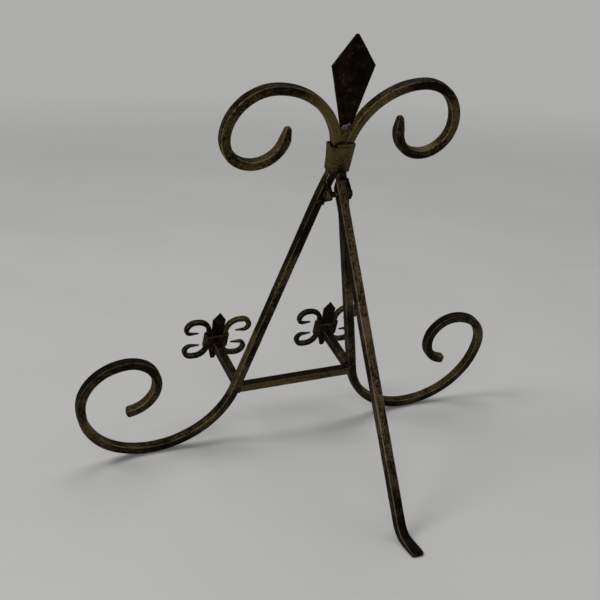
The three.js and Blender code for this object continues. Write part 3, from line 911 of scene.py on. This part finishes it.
def antique_iron(name, rub, ridge_rub_and_highlight, along=True, brown=0.5, gold=(0.092, 0.067, 0.021), seed=0.0):
    """Near-black paint with bronze rubbed over it, a painted highlight on the ridges and a painted dark rim
    where the surface turns away.

    rub is how much bronze there is from 0 to 1, ridge_rub_and_highlight how bright the ridges are, from
    rubbed wear and a painted highlight, brown how much reddish base shows, and gold the bronze's colour. With
    along, the rubbing follows the bar's lengthwise texture coordinates. The tint attribute adds bronze or
    takes it away, face by face, and also carries painted shade.
    """
    n = Nodes(name)
    place = n.add("ShaderNodeTexCoord").outputs["Object"]
    place = n.add("ShaderNodeVectorMath", {0: place, 1: (seed, seed, seed)}, operation="ADD").outputs[0]
    ridge = n.add("ShaderNodeAttribute", attribute_name="ridge").outputs["Fac"]
    tint = n.add("ShaderNodeAttribute", attribute_name="tint").outputs["Fac"]
    if along:
        length = n.add("ShaderNodeUVMap", uv_map="along").outputs["UV"]
        streaks = n.noise(n.stretch(length, (0.8, 5.0, 1.0)), 1.0, 4.0, 0.6)
        grain = n.noise(n.stretch(length, (4.5, 9.0, 1.0)), 1.0, 4.0, 0.65)
    else:
        streaks = n.noise(n.stretch(place, (1.0, 1.0, 0.35)), 420.0, 4.0, 0.6)
        grain = n.noise(place, 700.0, 4.0, 0.65)
    patches = n.noise(place, 48.0, 2.0, 0.5)
    blotch = n.noise(place, 150.0, 4.0, 0.6)
    fine = n.noise(place, 1500.0, 2.0, 0.6)

    cover = n.math("MULTIPLY", patches, 0.5)
    cover = n.math("ADD", cover, n.math("MULTIPLY", streaks, 0.5))
    cover = n.math("ADD", cover, n.math("MULTIPLY", n.math("SUBTRACT", blotch, 0.5), 0.5))
    cover = n.math("ADD", cover, n.math("MULTIPLY", n.math("SUBTRACT", grain, 0.5), 1.3))
    cover = n.math("ADD", cover, n.math("MULTIPLY", n.math("SUBTRACT", fine, 0.5), 0.6))
    level = 0.78 - 0.56 * rub
    # Bright ridges: partly rubbed wear, partly a painted highlight along the rounded corners.
    ridge_rub_and_glint_mask = n.math("MULTIPLY", n.math("POWER", ridge, 6.0), ridge_rub_and_highlight)
    ridge_rub_and_glint_mask = n.math("MULTIPLY", ridge_rub_and_glint_mask, n.range(cover, level - 0.22, level + 0.04))
    ridge_rub_and_glint_mask = n.math("MULTIPLY", ridge_rub_and_glint_mask, n.range(tint, -0.25, 0.1, 0.4, 1.0))
    cover = n.math("ADD", cover, tint)
    thin_bronze = n.range(cover, level - 0.03, level + 0.07)
    thick_bronze = n.range(cover, level + 0.08, level + 0.3)

    black = (0.0022, 0.0014, 0.0008, 1)
    base = n.mix(n.range(blotch, 0.42, 0.66, 0.0, brown), black, (0.016, 0.0065, 0.0032, 1))
    olive = (*gold, 1)
    russet = (gold[0], gold[1] * 0.84, gold[2] * 0.95, 1)
    dull = (gold[0] * 0.34, gold[1] * 0.33, gold[2] * 0.36, 1)
    paint = n.mix(n.range(patches, 0.42, 0.62), olive, russet)
    paint = n.mix(thick_bronze, dull, paint)
    colour = n.mix(thin_bronze, base, paint)
    # Pale colour for the bronze flecks and for the ridges' wear and painted highlight.
    bright = (gold[0] * 2.2, gold[1] * 2.5, gold[2] * 4.0, 1)
    flecks = n.math("MULTIPLY", n.range(fine, 0.66, 0.74), n.math("MULTIPLY", thin_bronze, 0.5))
    colour = n.mix(n.math("MAXIMUM", ridge_rub_and_glint_mask, flecks, clamp=True), colour, bright)
    # Painted shade: colour is drawn towards black where the surface turns away from the camera, a dark rim
    # standing in for dark reflections.
    edge = n.add("ShaderNodeLayerWeight", {"Blend": 0.5}).outputs["Facing"]
    painted_rim_shade_factor = n.range(edge, 0.55, 0.97, 1.0, 0.12)
    colour = n.mix(painted_rim_shade_factor, black, colour)

    rough = n.range(grain, 0.3, 0.7, 0.42, 0.64)
    metal = n.math("MULTIPLY", thin_bronze, 0.4)
    shine = n.math("ADD", n.math("MULTIPLY", thin_bronze, 0.12), n.math("MULTIPLY", ridge_rub_and_glint_mask, 0.4))
    # The painted rim shade dims the shine as well.
    shine = n.math("MULTIPLY", n.math("ADD", shine, 0.05), painted_rim_shade_factor)
    height = n.math("ADD", n.math("MULTIPLY", grain, 0.5), n.math("MULTIPLY", fine, 0.35))
    height = n.math("ADD", height, n.math("MULTIPLY", blotch, 0.7))
    return n.finish(colour, rough, metal, height, shine)


def pale_floor(name, colour):
    """A matt floor, a little cloudy, that fades out into the pale background at its rim."""
    n = Nodes(name)
    place = n.add("ShaderNodeTexCoord").outputs["Object"]
    cloud = n.noise(place, 5.0, 4.0, 0.5)
    speck = n.noise(place, 600.0, 2.0, 0.5)
    tint = n.mix(n.range(cloud, 0.35, 0.65), colour, tuple(c * 0.965 for c in colour[:3]) + (1,))
    bump = n.add("ShaderNodeBump", {"Height": speck, "Distance": 0.0002, "Strength": 0.15})
    inputs = {"Base Color": tint, "Roughness": 0.75, "Normal": bump.outputs["Normal"]}
    floor = n.add("ShaderNodeBsdfPrincipled", inputs).outputs["BSDF"]
    away = n.add("ShaderNodeVectorMath", {0: place}, operation="LENGTH").outputs["Value"]
    clear = n.add("ShaderNodeBsdfTransparent").outputs["BSDF"]
    fade = n.add("ShaderNodeMixShader", {"Fac": n.range(away, FLOOR_FADE, FLOOR_RADIUS), 1: floor, 2: clear})
    return n.output(fade.outputs["Shader"])


# ---------- stage ----------


def round_floor(material):
    sides = 96
    verts = [(0, 0, 0)]
    for i in range(sides):
        angle = 2 * math.pi * i / sides
        verts.append((FLOOR_RADIUS * math.cos(angle), FLOOR_RADIUS * math.sin(angle), 0))
    faces = [(0, 1 + i, 1 + (i + 1) % sides) for i in range(sides)]
    mesh = bpy.data.meshes.new("floor")
    mesh.from_pydata(verts, [], faces)
    mesh.materials.append(material)
    floor = bpy.data.objects.new("floor", mesh)
    bpy.context.scene.collection.objects.link(floor)


def area_light(name, place, target, size, power, colour):
    data = bpy.data.lights.new(name, "AREA")
    data.shape = "DISK"
    data.size = size
    data.energy = power
    data.color = colour
    light = bpy.data.objects.new(name, data)
    bpy.context.scene.collection.objects.link(light)
    light.location = place
    light.rotation_euler = (Vector(target) - Vector(place)).to_track_quat("-Z", "Y").to_euler()


def lights():
    area_light("key", (1.3, 0.0, 1.7), (0, -0.02, 0.1), 0.8, 11, (1.0, 0.995, 0.985))
    area_light("overhead", (-0.3, -0.5, 1.9), (-0.1, -0.25, 0.1), 1.5, 11, (1.0, 0.995, 0.98))
    area_light("fill", (1.0, 1.9, 1.2), (0, -0.1, 0.2), 1.4, 13, (1.0, 0.995, 0.99))
    bpy.context.scene.view_settings.view_transform = "Standard"


def studio(light, seen):
    """Even light of one strength from all round. The camera sees a pale background of its own brightness."""
    world = bpy.data.worlds.new("studio")
    bpy.context.scene.world = world
    world.use_nodes = True
    tree = world.node_tree
    tree.nodes.clear()
    shaders = []
    for colour, strength in (((0.93, 0.94, 0.95, 1), light), ((1.0, 0.995, 0.985, 1), seen)):
        node = tree.nodes.new("ShaderNodeBackground")
        node.inputs["Color"].default_value = colour
        node.inputs["Strength"].default_value = strength
        shaders.append(node.outputs["Background"])
    rays = tree.nodes.new("ShaderNodeLightPath")
    mix = tree.nodes.new("ShaderNodeMixShader")
    output = tree.nodes.new("ShaderNodeOutputWorld")
    tree.links.new(rays.outputs["Is Camera Ray"], mix.inputs["Fac"])
    tree.links.new(shaders[0], mix.inputs[1])
    tree.links.new(shaders[1], mix.inputs[2])
    tree.links.new(mix.outputs["Shader"], output.inputs["Surface"])


def camera(shift_y):
    """The camera stands behind the stand, to the side of its +X scrolls, a little above it."""
    data = bpy.data.cameras.new("camera")
    data.sensor_width = 36.0
    data.lens = 61.2
    data.clip_start = 0.02
    data.clip_end = 30
    view = bpy.data.objects.new("camera", data)
    bpy.context.scene.collection.objects.link(view)
    place = Vector((0.2963, 0.6364 + shift_y, 0.3479))
    forward = Vector((-0.4091, -0.8498, -0.3304)).normalized()
    right = forward.cross(Vector((0, 0, 1))).normalized()
    up = right.cross(forward)
    roll = 0.0276
    turned = (right * math.cos(roll) + up * math.sin(roll), up * math.cos(roll) - right * math.sin(roll))
    axes = Matrix((turned[0], turned[1], -forward)).transposed().to_4x4()
    view.matrix_world = Matrix.Translation(place) @ axes
    bpy.context.scene.camera = view


# ---------- the scene ----------

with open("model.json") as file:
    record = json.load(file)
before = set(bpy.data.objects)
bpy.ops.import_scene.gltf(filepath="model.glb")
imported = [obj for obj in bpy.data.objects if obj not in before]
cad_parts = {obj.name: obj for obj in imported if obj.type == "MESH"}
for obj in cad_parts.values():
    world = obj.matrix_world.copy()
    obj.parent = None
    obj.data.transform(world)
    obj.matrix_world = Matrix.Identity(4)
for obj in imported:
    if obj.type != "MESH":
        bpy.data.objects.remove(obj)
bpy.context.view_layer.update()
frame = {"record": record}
pin_place = Vector(frame["record"]["behaviour"]["joints"][0]["pos_m"])
easel = frame_matrix(pin_place)
leg_place = leg_matrix(pin_place)

BAR_IRON = antique_iron("bar_iron", 0.5, 0.85)
CROSS_BRONZE = antique_iron("cross_bronze", 0.66, 0.9, seed=1.7)
COLLAR_BRONZE = antique_iron("collar_bronze", 0.98, 0.6, along=False, gold=(0.082, 0.06, 0.018), seed=2.3)
ARM_IRON = antique_iron("arm_iron", 0.34, 0.55, seed=3.3)
CURL_IRON = antique_iron("curl_iron", 0.4, 0.7, seed=4.1)
CURL_BRONZE = antique_iron("curl_bronze", 0.58, 0.8, seed=4.9)
LEG_IRON = antique_iron("leg_iron", 0.66, 0.9, gold=(0.13, 0.097, 0.042), seed=5.3)
WRAP_IRON = antique_iron("wrap_iron", 0.42, 1.0, along=False, seed=6.1)
DARK_IRON = antique_iron("dark_iron_paint", 0.17, 0.5, along=False, brown=0.7, seed=7.7)
LUG_IRON = antique_iron("lug_iron", 0.24, 1.0, along=False, seed=7.1)
WELD_IRON = antique_iron("weld_iron", 0.36, 0.9, along=False, seed=8.3)
WELD_BRONZE = antique_iron("weld_bronze", 0.75, 0.5, along=False, seed=9.1)
# Painted highlight: pale bronze and bright flecks stand for glints on the weld under the spear.
WELD_PAINTED_HIGHLIGHT = antique_iron("weld_painted_highlight", 0.6, 0.4, along=False, gold=(0.34, 0.29, 0.23), seed=10.3)

for bar_side in SIDES:
    frame_bar(bar_side, easel, BAR_IRON)
    support_arm(bar_side, easel, ARM_IRON)
    hook(bar_side, easel, (CURL_IRON, CURL_BRONZE), WRAP_IRON, DARK_IRON)
    lug(bar_side, easel, LUG_IRON)
crossbar(easel, CROSS_BRONZE)
collar(easel, COLLAR_BRONZE)
spear(easel, DARK_IRON)
pin(easel, LUG_IRON)
leg(leg_place, pin_place.z / MM, LEG_IRON)
welds(easel, WELD_IRON, WELD_BRONZE, WELD_PAINTED_HIGHLIGHT)

camera(easel.translation.y)
round_floor(pale_floor("pale_floor", (0.62, 0.615, 0.61, 1)))
lights()
studio(0.24, 0.42)
